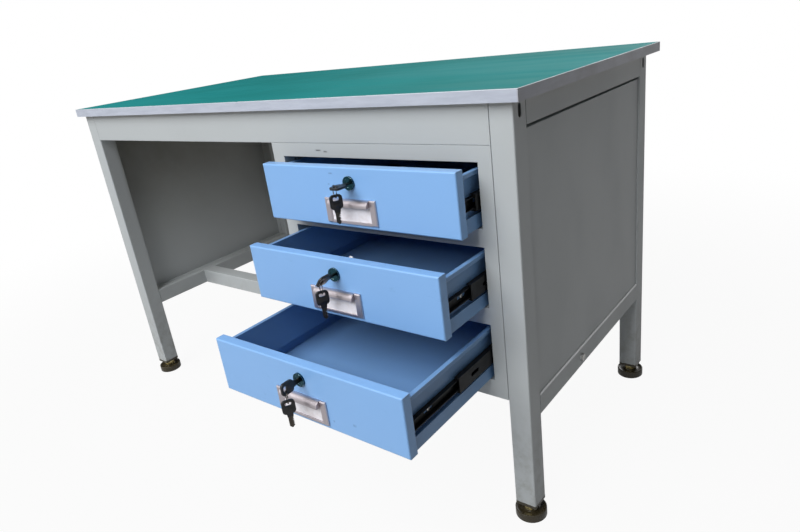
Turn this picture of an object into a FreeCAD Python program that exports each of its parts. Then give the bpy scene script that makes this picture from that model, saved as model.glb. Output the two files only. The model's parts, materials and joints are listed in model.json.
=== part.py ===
"""Steel workbench with a matted top, an open knee space and a cabinet of three locking drawers.

Millimetres, +X to the right, +Y to the back, +Z up. The origin is on the floor, under the middle
of the top. The drawers stand part open, each on a pair of three-member telescopic runners.
"""
import FreeCAD, Part
import math
import os
from types import SimpleNamespace

import Sketcher
from FreeCAD import Rotation, Vector

# ---------------------------------------------------------------- driving sizes, in millimetres
SIZES = {
    # top
    "top_length": 1200,
    "top_depth": 600,
    "bench_height": 736,
    "board_thickness": 16,
    "mat_thickness": 1.5,
    "edging_thickness": 2,
    "edging_round": 0.8,
    "edging_seam": 0.2,
    # frame of square tube
    "side_overhang": 15,
    "front_overhang": 12,
    "back_overhang": 34,
    "tube_size": 38,
    "tube_wall": 1.5,
    "tube_round": 2.5,
    "end_plate": 3,
    "leg_lift": 34,
    "apron_height": 60,
    "apron_depth": 25,
    "apron_sheet": 1.5,
    "bend_round": 1.5,
    "top_rail_height": 38,
    "top_rail_depth": 25,
    "lower_rail_level": 202,
    "cross_rail_setback": 188,
    # fixings of the frame
    "access_slot_width": 10,
    "access_slot_height": 20,
    "access_slot_drop": 5,
    "screw_diameter": 6,
    "screw_bite": 12,
    "pilot_depth": 13,
    "screw_head_width": 10,
    "screw_head_height": 4,
    "bolt_diameter": 8,
    "bolt_head_width": 13,
    "bolt_head_height": 5,
    "bolt_reach": 12,
    "hole_clearance": 0.25,
    # side panels
    "panel_sheet": 1,
    "panel_flange": 15,
    "panel_inset": 3,
    "panel_fit": 0.5,
    "panel_top_gap": 5,
    # feet
    "insert_flange": 6,
    "insert_plug": 18,
    "insert_fit": 0.3,
    "foot_diameter": 55,
    "foot_height": 16,
    "foot_collar_width": 22,
    "foot_collar_height": 10,
    "stem_diameter": 10,
    "stem_overlap": 28,
    # cabinet
    "cabinet_width": 460,
    "cabinet_sheet": 1,
    "floor_flange": 20,
    "face_depth": 25,
    "face_sheet": 1.2,
    "left_stile": 28,
    "right_stile": 23,
    "bottom_face_rail": 32,
    "divider_height": 29,
    "top_face_rail": 24,
    "post_width": 25,
    "post_sheet": 1.5,
    "front_post_setback": 32,
    "rear_post_setback": 395,
    # runners
    "runner_length": 450,
    "runner_height": 35,
    "runner_thickness": 12.7,
    "runner_gauge": 1.2,
    "runner_flange": 9.5,
    "runner_lip": 1.5,
    "ball_race": 3.1,
    "race_clearance": 0.15,
    "extension_setback": 2.4,
    "extension_flange": 8.6,
    "extension_length": 430,
    "inner_flange": 6.3,
    "cage_length": 60,
    "cage_depth": 3.6,
    "runner_end_gap": 1,
    "slot_front_gap": 34,
    "slot_rear_gap": 20,
    "slot_length": 22,
    "slot_width": 6.4,
    "stop_lug_length": 3,
    # drawers
    "front_side_gap": 2.5,
    "front_edge_gap": 0.8,
    "front_thickness": 17,
    "front_sheet": 1,
    "front_return": 12,
    "front_round": 2.5,
    "drawer_length": 450,
    "box_sheet": 1,
    "box_side_gap": 6.5,
    "box_rise": 1.5,
    "box_drop": 11,
    "box_skirt": 22,
    "box_lip": 6,
    "runner_rise": 42,
    "top_drawer_open": 55,
    "middle_drawer_open": 120,
    "bottom_drawer_open": 230,
    # pull with label holder
    "pull_width": 108,
    "pull_offset": 4,
    "pull_rise": 7,
    "pull_gap": 14.4,
    "pull_plate": 1,
    "pull_wall": 1,
    "hood_reach": 10,
    "hood_lip": 1.5,
    "side_pad_width": 12,
    "side_pad_height": 3,
    "side_pad_bevel": 1.5,
    "bottom_rim_width": 4,
    "bottom_rim_height": 2,
    "card_thickness": 0.4,
    "card_fit": 0.3,
    # lock
    "lock_drop": 25,
    "lock_face_diameter": 23,
    "lock_face_height": 3,
    "barrel_diameter": 18.4,
    "barrel_flats": 16,
    "barrel_length": 28,
    "barrel_fit": 0.2,
    "nut_width": 24,
    "nut_height": 4,
    "plug_diameter": 14,
    "plug_fit": 0.1,
    "plug_recess": 0.6,
    "cam_reach": 26,
    "cam_width": 10,
    "cam_thickness": 2,
    "cam_gap": 0.4,
    "cam_screw_width": 8,
    "cam_screw_height": 2,
    # keys
    "key_stand": 38,
    "bow_length": 24,
    "bow_width": 21,
    "bow_thickness": 4,
    "bow_corner": 5,
    "bow_rim": 4,
    "bow_hole_length": 6,
    "bow_hole_width": 10,
    "neck_length": 5,
    "neck_width": 11,
    "blade_length": 20,
    "blade_width": 8,
    "blade_thickness": 2.2,
    "bitting_start": 3,
    "bitting_land": 1,
    "keyway_fit": 0.1,
    "ring_outer_radius": 10.7,
    "ring_band": 1.2,
    "ring_width": 1.6,
    "ring_play": 0.5,
}
DRAWERS = 3
RUNNER_SLOTS = 4
# Depths of the key's cuts, counted from its shoulder, as shares of the blade's width.
KEY_CUTS = (0.22, 0.34, 0.16, 0.28, 0.2)
# Share of a cut's pitch that stays uncut between it and the next.
CUT_RIDGE = 0.1
# The key rings hang turned to the left by this many degrees.
RING_TURN = 30
# Lock turns as they stand, in degrees from cam down (open) towards cam up (locked).
LOCK_TURNS = {"top": 90, "middle": 142, "bottom": 0}


class Size:
    """A length that knows its value and the sheet formula behind it."""

    def __init__(self, value, formula=None):
        self.value = float(value)
        self.formula = formula or "(%s)" % self.value

    def __add__(self, other):
        return combine(self, other, "+", lambda a, b: a + b)

    def __sub__(self, other):
        return combine(self, other, "-", lambda a, b: a - b)

    def __rsub__(self, other):
        return combine(other, self, "-", lambda a, b: a - b)

    def __mul__(self, other):
        return combine(self, other, "*", lambda a, b: a * b)

    def __truediv__(self, other):
        return combine(self, other, "/", lambda a, b: a / b)

    def __neg__(self):
        return self * -1

    __radd__ = __add__
    __rmul__ = __mul__


def sized(number):
    """Turn a plain number into a Size, and leave a Size alone."""
    return number if isinstance(number, Size) else Size(number)


def root(size):
    return Size(math.sqrt(size.value), "sqrt(%s)" % size.formula)


def combine(left, right, sign, operation):
    left, right = sized(left), sized(right)
    formula = "(%s %s %s)" % (left.formula, sign, right.formula)
    return Size(operation(left.value, right.value), formula)


doc = FreeCAD.newDocument("three_drawer_bench")
sheet = doc.addObject("Spreadsheet::Sheet", "sizes")
for row, (name, value) in enumerate(SIZES.items(), 1):
    sheet.set("A%d" % row, name)
    sheet.set("B%d" % row, str(value))
    sheet.setAlias("B%d" % row, name)
doc.recompute()
s = SimpleNamespace(**{name: Size(value, "sizes." + name) for name, value in SIZES.items()})

# ---------------------------------------------------------------- places worked out from them
half_length = s.top_length / 2
half_depth = s.top_depth / 2
frame_right = half_length - s.side_overhang
frame_front = s.front_overhang - half_depth
frame_back = half_depth - s.back_overhang
frame_top = s.bench_height - s.board_thickness - s.mat_thickness
bay_right = frame_right - s.tube_size
bay_front = frame_front + s.tube_size
bay_back = frame_back - s.tube_size
leg_height = frame_top - s.leg_lift
leg_x = frame_right - s.tube_size / 2
leg_places = {
    "front_left": (-leg_x, frame_front + s.tube_size / 2),
    "front_right": (leg_x, frame_front + s.tube_size / 2),
    "back_left": (-leg_x, frame_back - s.tube_size / 2),
    "back_right": (leg_x, frame_back - s.tube_size / 2),
}
lower_rail_top = s.lower_rail_level + s.tube_size
cross_rail_y = frame_front + s.cross_rail_setback + s.tube_size / 2
bolt_z = s.lower_rail_level + s.tube_size / 2

cabinet_left = bay_right - s.cabinet_width
cabinet_height = frame_top - s.apron_height - lower_rail_top
wrap_front = frame_front + s.face_depth
wrap_depth = frame_back - s.apron_depth - wrap_front
opening_width = s.cabinet_width - s.left_stile - s.right_stile
half_opening = opening_width / 2
face_rails = s.bottom_face_rail + s.top_face_rail + s.divider_height * (DRAWERS - 1)
opening_height = (cabinet_height - face_rails) / DRAWERS
drawer_x = cabinet_left + s.left_stile + half_opening
pitch = opening_height + s.divider_height
# Bottom edge of each opening and how far its drawer stands open, by drawer name.
opening_levels = {
    "top": lower_rail_top + s.bottom_face_rail + pitch * 2,
    "middle": lower_rail_top + s.bottom_face_rail + pitch,
    "bottom": lower_rail_top + s.bottom_face_rail,
}
opened = {"top": s.top_drawer_open, "middle": s.middle_drawer_open, "bottom": s.bottom_drawer_open}

# Drawer frame: x from the middle of the opening, y from the drawer's face, z from the opening's edge.
front_half = half_opening - s.front_side_gap
front_bottom = s.front_edge_gap
front_top = opening_height - s.front_edge_gap
box_half = half_opening - s.box_side_gap
web_half = half_opening - s.runner_thickness
box_bottom = front_bottom + s.box_rise
box_top = front_top - s.box_drop
skirt_top = box_bottom + s.box_skirt
runner_z = box_bottom + s.runner_rise
runner_y = s.front_thickness + s.runner_end_gap
lock_z = front_top - s.lock_drop
pull_bottom = front_bottom + s.pull_rise
pull_top = lock_z - s.lock_face_diameter / 2 - s.pull_gap
barrel_radius = s.barrel_diameter / 2
plug_radius = s.plug_diameter / 2


# ---------------------------------------------------------------- drawing and feature helpers
def bind(target, name, size):
    target.setExpression(name, sized(size).formula)


def pin(drawn, geometry, point, x, y):
    """Hold one point of a sketch at x, y, with both distances bound to the sheet."""
    for kind, size in (("DistanceX", x), ("DistanceY", y)):
        if size is not None:
            size = sized(size)
            held = drawn.addConstraint(Sketcher.Constraint(kind, -1, 1, geometry, point, size.value))
            bind(drawn, "Constraints[%d]" % held, size)


def flat(x, y):
    return Vector(sized(x).value, sized(y).value, 0)


def arc(start, end, centre, sweep):
    """Arc between two points about a centre; sweep is 1 for counter-clockwise, -1 for clockwise."""
    begin, finish = (start, end) if sweep > 0 else (end, start)
    middle = flat(*centre)
    angles = [math.atan2(p.y - middle.y, p.x - middle.x) for p in (flat(*begin[:2]), flat(*finish[:2]))]
    circle = Part.Circle(middle, Vector(0, 0, 1), (flat(*start[:2]) - middle).Length)
    return Part.ArcOfCircle(circle, *angles)


def polygon(*points):
    """Closed outline through the points.

    A point is x, y, or x, y, centre, sweep where an arc leads from it to the next one.
    """
    def draw(drawn):
        first = drawn.GeometryCount
        # Which of an edge's two ends is met first: an arc drawn clockwise is stored backwards.
        entries = [2 if len(point) > 2 and point[3] < 0 else 1 for point in points]
        for start, end in zip(points, points[1:] + points[:1]):
            if len(start) > 2:
                drawn.addGeometry(arc(start, end, *start[2:]), False)
            else:
                drawn.addGeometry(Part.LineSegment(flat(*start), flat(*end[:2])), False)
        for number, point in enumerate(points):
            after = (number + 1) % len(points)
            drawn.addConstraint(Sketcher.Constraint(
                "Coincident", first + number, 3 - entries[number], first + after, entries[after]))
            pin(drawn, first + number, entries[number], *point[:2])
            if len(point) > 2:
                centre_x, centre_y = point[2]
                level = sized(point[0]).value == sized(points[after][0]).value
                pin(drawn, first + number, 3, centre_x if level else None, None if level else centre_y)
    return draw


def box(x0, y0, x1, y1):
    return polygon((x0, y0), (x1, y0), (x1, y1), (x0, y1))


def disc(x, y, radius):
    def draw(drawn):
        radius_size = sized(radius)
        circle = drawn.addGeometry(Part.Circle(flat(x, y), Vector(0, 0, 1), radius_size.value), False)
        pin(drawn, circle, 3, x, y)
        held = drawn.addConstraint(Sketcher.Constraint("Radius", circle, radius_size.value))
        bind(drawn, "Constraints[%d]" % held, radius_size)
    return draw


def hexagon(x, y, width):
    """Hexagon of the given width across its flats."""
    corner = width / 2 / math.cos(math.radians(30))
    angles = [math.radians(60 * side) for side in range(6)]
    return polygon(*[(x + corner * math.cos(a), y + corner * math.sin(a)) for a in angles])


def upright_slot(y0, y1, width):
    """Slot with round ends, standing along the sketch's second axis."""
    radius = width / 2
    low, high = y0 + radius, y1 - radius
    return polygon((radius, low), (radius, high, (0, high), 1), (-radius, high), (-radius, low, (0, low), 1))


def flatted(level, radius, across):
    """Circle about 0, level with its left and right cut to flats, the width given across them."""
    half = across / 2
    rise = root(radius * radius - half * half)
    low, high = level - rise, level + rise
    return polygon((half, low), (half, high, (0, level), 1), (-half, high), (-half, low, (0, level), 1))


def punched_slot(x0, x1, y, width):
    """Slot along the sketch's first axis, its ends cut to half an octagon."""
    half = width / 2
    short = half * (2 - math.sqrt(2))
    low, high = half - short, x1 - short
    return polygon((x0 + short, y - half), (high, y - half), (x1, y - low), (x1, y + low),
                   (high, y + half), (x0 + short, y + half), (x0, y + low), (x0, y - low))


PLANES = {"top": "XY_Plane", "front": "XZ_Plane", "side": "YZ_Plane"}


def set_place(made, label, x, y, z):
    made.Label = label
    for axis, size in zip("xyz", (x, y, z)):
        bind(made, ".Placement.Base." + axis, size)


def new_body(label, x=0, y=0, z=0):
    """Body for one node; it may hold several solids, such as four equal posts."""
    body = doc.addObject("PartDesign::Body", label)
    body.AllowCompound = True
    set_place(body, label, x, y, z)
    return body


def new_sketch(body, plane, outlines, level):
    """Sketch on one of the body's own origin planes, moved to a level along that plane's axis."""
    drawn = body.newObject("Sketcher::SketchObject", body.Label + "_sketch")
    support = [o for o in body.Origin.OriginFeatures if o.Role == PLANES[plane]][0]
    drawn.AttachmentSupport = [(support, "")]
    drawn.MapMode = "FlatFace"
    # The front plane's normal points to -Y, the others' to +Z and +X.
    bind(drawn, ".AttachmentOffset.Base.z", -sized(level) if plane == "front" else level)
    for draw in outlines:
        draw(drawn)
    return drawn


def add(body, plane, outlines, start, end):
    """Add the outlines' area between two levels along the plane's axis."""
    feature = body.newObject("PartDesign::Pad", body.Label + "_pad")
    feature.Profile = new_sketch(body, plane, outlines, start)
    feature.Reversed = plane == "front"
    bind(feature, "Length", end - start)
    doc.recompute()
    return feature


def cut(body, plane, outlines, start, end):
    """Cut the outlines' area away between two levels, and make sure that it took something."""
    before = body.Shape.Volume
    feature = body.newObject("PartDesign::Pocket", body.Label + "_pocket")
    feature.Profile = new_sketch(body, plane, outlines, start if plane == "front" else end)
    bind(feature, "Length", end - start)
    doc.recompute()
    if body.Shape.Volume >= before:
        raise RuntimeError("a pocket cut nothing from " + body.Label)
    return feature


def edges(body, along=None, **levels):
    """Names of the edges that run along an axis, or lie at the given levels, or both."""
    names = []
    for number, edge in enumerate(body.Tip.Shape.Edges, 1):
        reach = edge.BoundBox
        spans = {"x": (reach.XMin, reach.XMax), "y": (reach.YMin, reach.YMax), "z": (reach.ZMin, reach.ZMax)}
        lengths = {axis: high - low for axis, (low, high) in spans.items()}
        straight = not along or all((lengths[axis] > 1e-3) == (axis == along) for axis in "xyz")
        inside = all(
            any(abs(spans[axis][0] - sized(v).value) < 1e-3 and abs(spans[axis][1] - sized(v).value) < 1e-3
                for v in values)
            for axis, values in levels.items())
        if straight and inside:
            names.append("Edge%d" % number)
    return names


def dress(body, kind, property_name, size, names):
    """Fillet or chamfer the named edges of what the body is so far."""
    base = body.Tip
    feature = body.newObject("PartDesign::" + kind, body.Label + "_" + kind.lower())
    feature.Base = (base, names)
    bind(feature, property_name, size)
    doc.recompute()


def fillet(body, radius, names):
    dress(body, "Fillet", "Radius", radius, names)


def chamfer(body, size, names):
    dress(body, "Chamfer", "Size", size, names)


def tube_section(width, height, wall, first=0, second=0):
    """Outer and inner outline of a hollow section with its corner at first, second."""
    outer = box(first, second, first + width, second + height)
    inner = box(first + wall, second + wall, first + width - wall, second + height - wall)
    return [outer, inner]


# ---------------------------------------------------------------- top
def make_top():
    board_x, board_y = half_length - s.edging_thickness, half_depth - s.edging_thickness
    board = new_body("worktop_board", z=frame_top)
    add(board, "top", [box(-board_x, -board_y, board_x, board_y)], 0, s.board_thickness)
    pilots = [disc(x, y, s.screw_diameter / 2) for x, y in leg_places.values()]
    cut(board, "top", pilots, 0, s.pilot_depth)

    mat = new_body("worktop_mat", z=frame_top + s.board_thickness)
    add(mat, "top", [box(-board_x, -board_y, board_x, board_y)], 0, s.mat_thickness)

    edging = new_body("top_edging", z=frame_top)
    height = s.board_thickness + s.mat_thickness
    end_y = board_y - s.edging_seam
    strips = []
    for side in (-1, 1):
        near, far = side * board_y, side * half_depth
        strips.append(box(-half_length, near, half_length, far))
        near, far = side * board_x, side * half_length
        strips.append(box(near, -end_y, far, end_y))
    add(edging, "top", strips, 0, height)
    outer = edges(edging, "x", y=[-half_depth, half_depth], z=[height])
    outer += edges(edging, "y", x=[-half_length, half_length], z=[height])
    fillet(edging, s.edging_round, [name for name in outer if long_edge(edging, name)])


def long_edge(body, name):
    """Leave the strips' own thickness out of a choice of edges."""
    return body.Tip.Shape.getElement(name).Length > 2 * s.edging_thickness.value


# ---------------------------------------------------------------- frame
def make_leg(place, x, y):
    leg = new_body(place + "_leg", x, y, s.leg_lift)
    half = s.tube_size / 2
    bore = half - s.tube_wall
    add(leg, "top", [box(-half, -half, half, half)], 0, leg_height)
    fillet(leg, s.tube_round, edges(leg, "z"))
    cut(leg, "top", [box(-bore, -bore, bore, bore)], 0, leg_height - s.end_plate)
    screw_hole = disc(0, 0, s.screw_diameter / 2 + s.hole_clearance)
    cut(leg, "top", [screw_hole], leg_height - s.end_plate, leg_height)
    # A slot in the outer wall gives a spanner room at the screw that holds the top.
    top = leg_height - s.access_slot_drop
    slot = upright_slot(top - s.access_slot_height, top, s.access_slot_width)
    if "right" in place:
        cut(leg, "side", [slot], bore, half)
    else:
        cut(leg, "side", [slot], -half, -bore)


def make_aprons():
    """Folded channels between the legs, open to the inside."""
    height, depth, sheet = s.apron_height, s.apron_depth, s.apron_sheet
    for label, face, inwards in (("front_apron", frame_front, 1), ("back_apron", frame_back, -1)):
        apron = new_body(label, 0, face, frame_top - height)
        section = polygon((0, 0), (inwards * depth, 0), (inwards * depth, sheet), (inwards * sheet, sheet),
                          (inwards * sheet, height - sheet), (inwards * depth, height - sheet),
                          (inwards * depth, height), (0, height))
        add(apron, "side", [section], -bay_right, bay_right)
        fillet(apron, s.bend_round, edges(apron, "x", y=[0]))


def make_side_frame(side, sign):
    """Top rail, lower rail and folded panel between the two legs of one side."""
    rail = new_body(side + "_top_rail", sign * frame_right, 0, frame_top - s.top_rail_height)
    inner = -sign * s.top_rail_depth
    wall = -sign * s.tube_wall
    section = [box(0, 0, inner, s.top_rail_height),
               box(wall, s.tube_wall, inner - wall, s.top_rail_height - s.tube_wall)]
    add(rail, "front", section, bay_front, bay_back)

    lower = new_body(side + "_lower_rail", sign * leg_x - s.tube_size / 2, 0, s.lower_rail_level)
    add(lower, "front", [box(0, 0, s.tube_size, s.tube_size)], bay_front, bay_back)
    fillet(lower, s.tube_round, edges(lower, "y"))
    bore = tube_section(s.tube_size, s.tube_size, s.tube_wall)[1]
    cut(lower, "front", [bore], bay_front, bay_back)
    bolt_hole = disc(cross_rail_y, s.tube_size / 2, s.bolt_diameter / 2 + s.hole_clearance)
    cut(lower, "side", [bolt_hole], 0, s.tube_size)

    panel = new_body(side + "_side_panel", sign * (frame_right - s.panel_inset), 0, lower_rail_top)
    height = frame_top - s.top_rail_height - s.panel_top_gap - lower_rail_top
    front, back = bay_front + s.panel_fit, bay_back - s.panel_fit
    skin = s.panel_sheet
    depths = sorted((Size(0), -sign * s.panel_flange), key=lambda size: size.value)
    add(panel, "side", [box(front, 0, back, height)], *depths)
    fillet(panel, s.bend_round, edges(panel, x=[0]))
    hollow = sorted((-sign * skin, -sign * s.panel_flange), key=lambda size: size.value)
    cut(panel, "side", [box(front + skin, skin, back - skin, height - skin)], *hollow)


def make_cross_rail():
    rail = new_body("cross_rail", 0, cross_rail_y - s.tube_size / 2, s.lower_rail_level)
    add(rail, "side", [box(0, 0, s.tube_size, s.tube_size)], -bay_right, bay_right)
    fillet(rail, s.tube_round, edges(rail, "x"))
    bore = tube_section(s.tube_size, s.tube_size, s.tube_wall)[1]
    cut(rail, "side", [bore], -bay_right + s.end_plate, bay_right - s.end_plate)
    middle = s.tube_size / 2
    bolt_hole = disc(middle, middle, s.bolt_diameter / 2 + s.hole_clearance)
    cut(rail, "side", [bolt_hole], -bay_right, bay_right)


def make_fasteners():
    """Four screws up into the board, and a bolt through each lower rail into the cross rail."""
    fasteners = new_body("frame_fasteners")
    plate_under = frame_top - s.end_plate
    heads = [hexagon(x, y, s.screw_head_width) for x, y in leg_places.values()]
    add(fasteners, "top", heads, plate_under - s.screw_head_height, plate_under)
    shanks = [disc(x, y, s.screw_diameter / 2) for x, y in leg_places.values()]
    add(fasteners, "top", shanks, plate_under, frame_top + s.screw_bite)
    for sign in (-1, 1):
        face = sign * frame_right
        ends = sorted((face, face + sign * s.bolt_head_height), key=lambda size: size.value)
        add(fasteners, "side", [hexagon(cross_rail_y, bolt_z, s.bolt_head_width)], *ends)
        tip = sign * (bay_right - s.bolt_reach)
        ends = sorted((face, tip), key=lambda size: size.value)
        add(fasteners, "side", [disc(cross_rail_y, bolt_z, s.bolt_diameter / 2)], *ends)


def make_foot_inserts():
    """Square caps that close the legs' ends and take the stems of the feet."""
    inserts = new_body("foot_inserts", z=s.leg_lift)
    half = s.tube_size / 2
    plug = half - s.tube_wall - s.insert_fit
    places = leg_places.values()
    caps = [box(x - half, y - half, x + half, y + half) for x, y in places]
    add(inserts, "top", caps, -s.insert_flange, 0)
    chamfer(inserts, s.tube_wall, edges(inserts, "z"))
    add(inserts, "top", [box(x - plug, y - plug, x + plug, y + plug) for x, y in places], 0, s.insert_plug)
    bore = s.stem_diameter / 2 + s.insert_fit
    cut(inserts, "top", [disc(x, y, bore) for x, y in places], -s.insert_flange, s.insert_plug)


def make_foot(place, x, y):
    """Flat round foot with a hexagon to turn it by, and a stem that goes up into the leg's insert."""
    foot = new_body(place + "_foot", x, y, 0)
    add(foot, "top", [disc(0, 0, s.foot_diameter / 2)], 0, s.foot_height)
    collar_top = s.foot_height + s.foot_collar_height
    add(foot, "top", [hexagon(Size(0), Size(0), s.foot_collar_width)], s.foot_height, collar_top)
    add(foot, "top", [disc(0, 0, s.stem_diameter / 2)], collar_top, s.leg_lift + s.stem_overlap)


# ---------------------------------------------------------------- cabinet
def make_cabinet():
    sheet_size = s.cabinet_sheet
    wrap = new_body("cabinet_wrap", cabinet_left, wrap_front, lower_rail_top)
    inside = s.cabinet_width - sheet_size
    add(wrap, "top", [polygon((0, 0), (sheet_size, 0), (sheet_size, wrap_depth - sheet_size),
                              (inside, wrap_depth - sheet_size), (inside, 0), (s.cabinet_width, 0),
                              (s.cabinet_width, wrap_depth), (0, wrap_depth))],
        0, frame_top - lower_rail_top)
    fillet(wrap, s.bend_round, edges(wrap, "z", y=[wrap_depth]))

    floor = new_body("cabinet_floor", cabinet_left, wrap_front, lower_rail_top)
    depth = wrap_depth - sheet_size
    add(floor, "side", [polygon((0, 0), (depth, 0), (depth, s.floor_flange),
                                (depth - sheet_size, s.floor_flange), (depth - sheet_size, sheet_size),
                                (sheet_size, sheet_size), (sheet_size, s.floor_flange),
                                (0, s.floor_flange))],
        sheet_size, s.cabinet_width - sheet_size)


def opening_boxes(growth):
    """Outlines of the three openings in the face frame, each grown by the same margin."""
    left, right = s.left_stile - growth, s.left_stile + opening_width + growth
    lows = [s.bottom_face_rail + pitch * number for number in range(DRAWERS)]
    return [box(left, low - growth, right, low + opening_height + growth) for low in lows]


def make_face_frame():
    """Pressed frame with a return all round its edge and round each opening."""
    face = new_body("face_frame", cabinet_left, frame_front, lower_rail_top)
    skin = s.face_sheet
    outline = box(0, 0, s.cabinet_width, cabinet_height)
    add(face, "front", [outline] + opening_boxes(Size(0)), 0, skin)
    add(face, "front", tube_section(s.cabinet_width, cabinet_height, skin), 0, s.face_depth)
    add(face, "front", opening_boxes(skin) + opening_boxes(Size(0)), 0, s.face_depth)


def make_posts():
    """Upright channels that bring the runners flush with the openings' edges."""
    posts = new_body("runner_posts", cabinet_left, frame_front, lower_rail_top + s.cabinet_sheet)
    wall, sheet_size = s.cabinet_sheet, s.post_sheet
    left_edge, right_edge = s.left_stile, s.left_stile + opening_width
    sections = []
    for low in (s.front_post_setback, s.rear_post_setback):
        high = low + s.post_width
        for outer, inner, inwards in ((wall, left_edge, 1), (s.cabinet_width - wall, right_edge, -1)):
            web = inner - inwards * sheet_size
            sections.append(polygon((outer, low), (inner, low), (inner, high), (outer, high),
                                    (outer, high - sheet_size), (web, high - sheet_size),
                                    (web, low + sheet_size), (outer, low + sheet_size)))
    add(posts, "top", sections, 0, cabinet_height - s.cabinet_sheet)


# ---------------------------------------------------------------- telescopic runners
# Sections are drawn with "inwards" as the distance from the opening's edge towards the drawer.
slot_run = s.extension_length - s.slot_front_gap - s.slot_rear_gap - s.slot_length
slot_pitch = slot_run / (RUNNER_SLOTS - 1)
extension_half = s.runner_height / 2 - s.runner_gauge - s.ball_race
inner_half = extension_half - s.runner_gauge - s.ball_race


def on_side(sign, centre_z, points):
    """Turn points of inwards, up into a section on the left (-1) or right (+1) of the drawer."""
    return polygon(*[(sign * (half_opening - inwards), centre_z + up) for inwards, up in points])


def mirrored_section(upper):
    """Complete a section from the points of its upper half."""
    lower = [(inwards, -up) for inwards, up in reversed(upper)]
    return upper + lower


def cabinet_section():
    gauge, half = s.runner_gauge, s.runner_height / 2
    reach, lip = s.runner_flange, s.runner_lip
    inside = half - gauge
    upper = [(Size(0), half), (reach, half), (reach, inside - lip), (reach - gauge, inside - lip),
             (reach - gauge, inside), (gauge, inside)]
    return mirrored_section(upper)


def extension_section():
    gauge, near = s.runner_gauge, s.extension_setback
    far = near + s.extension_flange
    upper = [(near, extension_half), (far, extension_half), (far, extension_half - gauge),
             (near + gauge, extension_half - gauge)]
    return mirrored_section(upper)


def drawer_section():
    gauge, web = s.runner_gauge, s.runner_thickness
    tip = web - gauge - s.inner_flange
    upper = [(web, inner_half), (tip, inner_half), (tip, inner_half - gauge),
             (web - gauge, inner_half - gauge)]
    return mirrored_section(upper)


def punch_webs(runners, start):
    """Row of fixing slots through the webs of both sides, from a level behind the drawer's face."""
    slots = []
    for number in range(RUNNER_SLOTS):
        begin = start + s.slot_front_gap + slot_pitch * number
        slots.append(punched_slot(begin, begin + s.slot_length, runner_z, s.slot_width))
    return cut(runners, "side", slots, -half_opening, half_opening)


def make_cabinet_runners():
    """Six outer members: a left and a right one drawn, repeated up the three openings."""
    runners = new_body("cabinet_runners", drawer_x, frame_front + runner_y, opening_levels["bottom"])
    sections = [on_side(sign, runner_z, cabinet_section()) for sign in (-1, 1)]
    pair = add(runners, "front", sections, 0, s.runner_length)
    slots = punch_webs(runners, Size(0))
    upward = [o for o in runners.Origin.OriginFeatures if o.Role == "Z_Axis"][0]
    column = runners.newObject("PartDesign::LinearPattern", "cabinet_runner_column")
    column.Originals = [pair, slots]
    column.Direction = (upward, [""])
    column.Occurrences = DRAWERS
    bind(column, "Length", pitch * (DRAWERS - 1))
    runners.Tip = column
    doc.recompute()


def make_extension_runners(name):
    """Middle members of one drawer's pair, half as far out as the drawer, with their ball cages."""
    place_y = frame_front + runner_y - opened[name] / 2
    runners = new_body(name + "_extension_runners", drawer_x, place_y, opening_levels[name])
    gauge, near = s.runner_gauge, s.extension_setback
    length, cage = s.extension_length, s.cage_length
    add(runners, "front", [on_side(sign, runner_z, extension_section()) for sign in (-1, 1)], 0, length)
    punch_webs(runners, Size(0))
    outer = (near + gauge, extension_half, s.runner_height / 2 - gauge - s.race_clearance)
    inner = (near + 2 * gauge + 2 * s.race_clearance, inner_half + s.race_clearance, extension_half - gauge)
    # The outer balls run in the rear half, the inner ones in the front half.
    for (start, low, high), behind in ((outer, length / 2), (inner, Size(0))):
        cages = []
        for sign in (-1, 1):
            for up in (-1, 1):
                corners = [(start, up * low), (start + s.cage_depth, up * low),
                           (start + s.cage_depth, up * high), (start, up * high)]
                cages.append(on_side(sign, runner_z, corners))
        add(runners, "front", cages, behind, behind + cage)
        add(runners, "front", cages, behind + length / 2 - cage, behind + length / 2)


def make_drawer_runners(name, place):
    runners = new_body(name + "_drawer_runners", *place)
    sections = [on_side(sign, runner_z, drawer_section()) for sign in (-1, 1)]
    add(runners, "front", sections, runner_y, runner_y + s.extension_length)
    punch_webs(runners, runner_y)
    # The web's rear end is bent out as a stop.
    end = runner_y + s.extension_length
    lug = [(s.runner_thickness - s.runner_gauge, inner_half - s.runner_gauge)]
    lug += [(s.runner_thickness - s.runner_gauge - s.inner_flange, inner_half - s.runner_gauge)]
    stops = [on_side(sign, runner_z, mirrored_section(lug)) for sign in (-1, 1)]
    add(runners, "front", stops, end - s.stop_lug_length, end)


# ---------------------------------------------------------------- drawers
def both_sides(points):
    """Outline through the points of the right half and their mirror images."""
    return polygon(*(points + [(-x, z) for x, z in reversed(points)]))


def barrel_hole():
    """Hole for a lock's barrel, with flats that keep the barrel from turning."""
    return flatted(lock_z, barrel_radius + s.barrel_fit, s.barrel_flats + 2 * s.barrel_fit)


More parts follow.
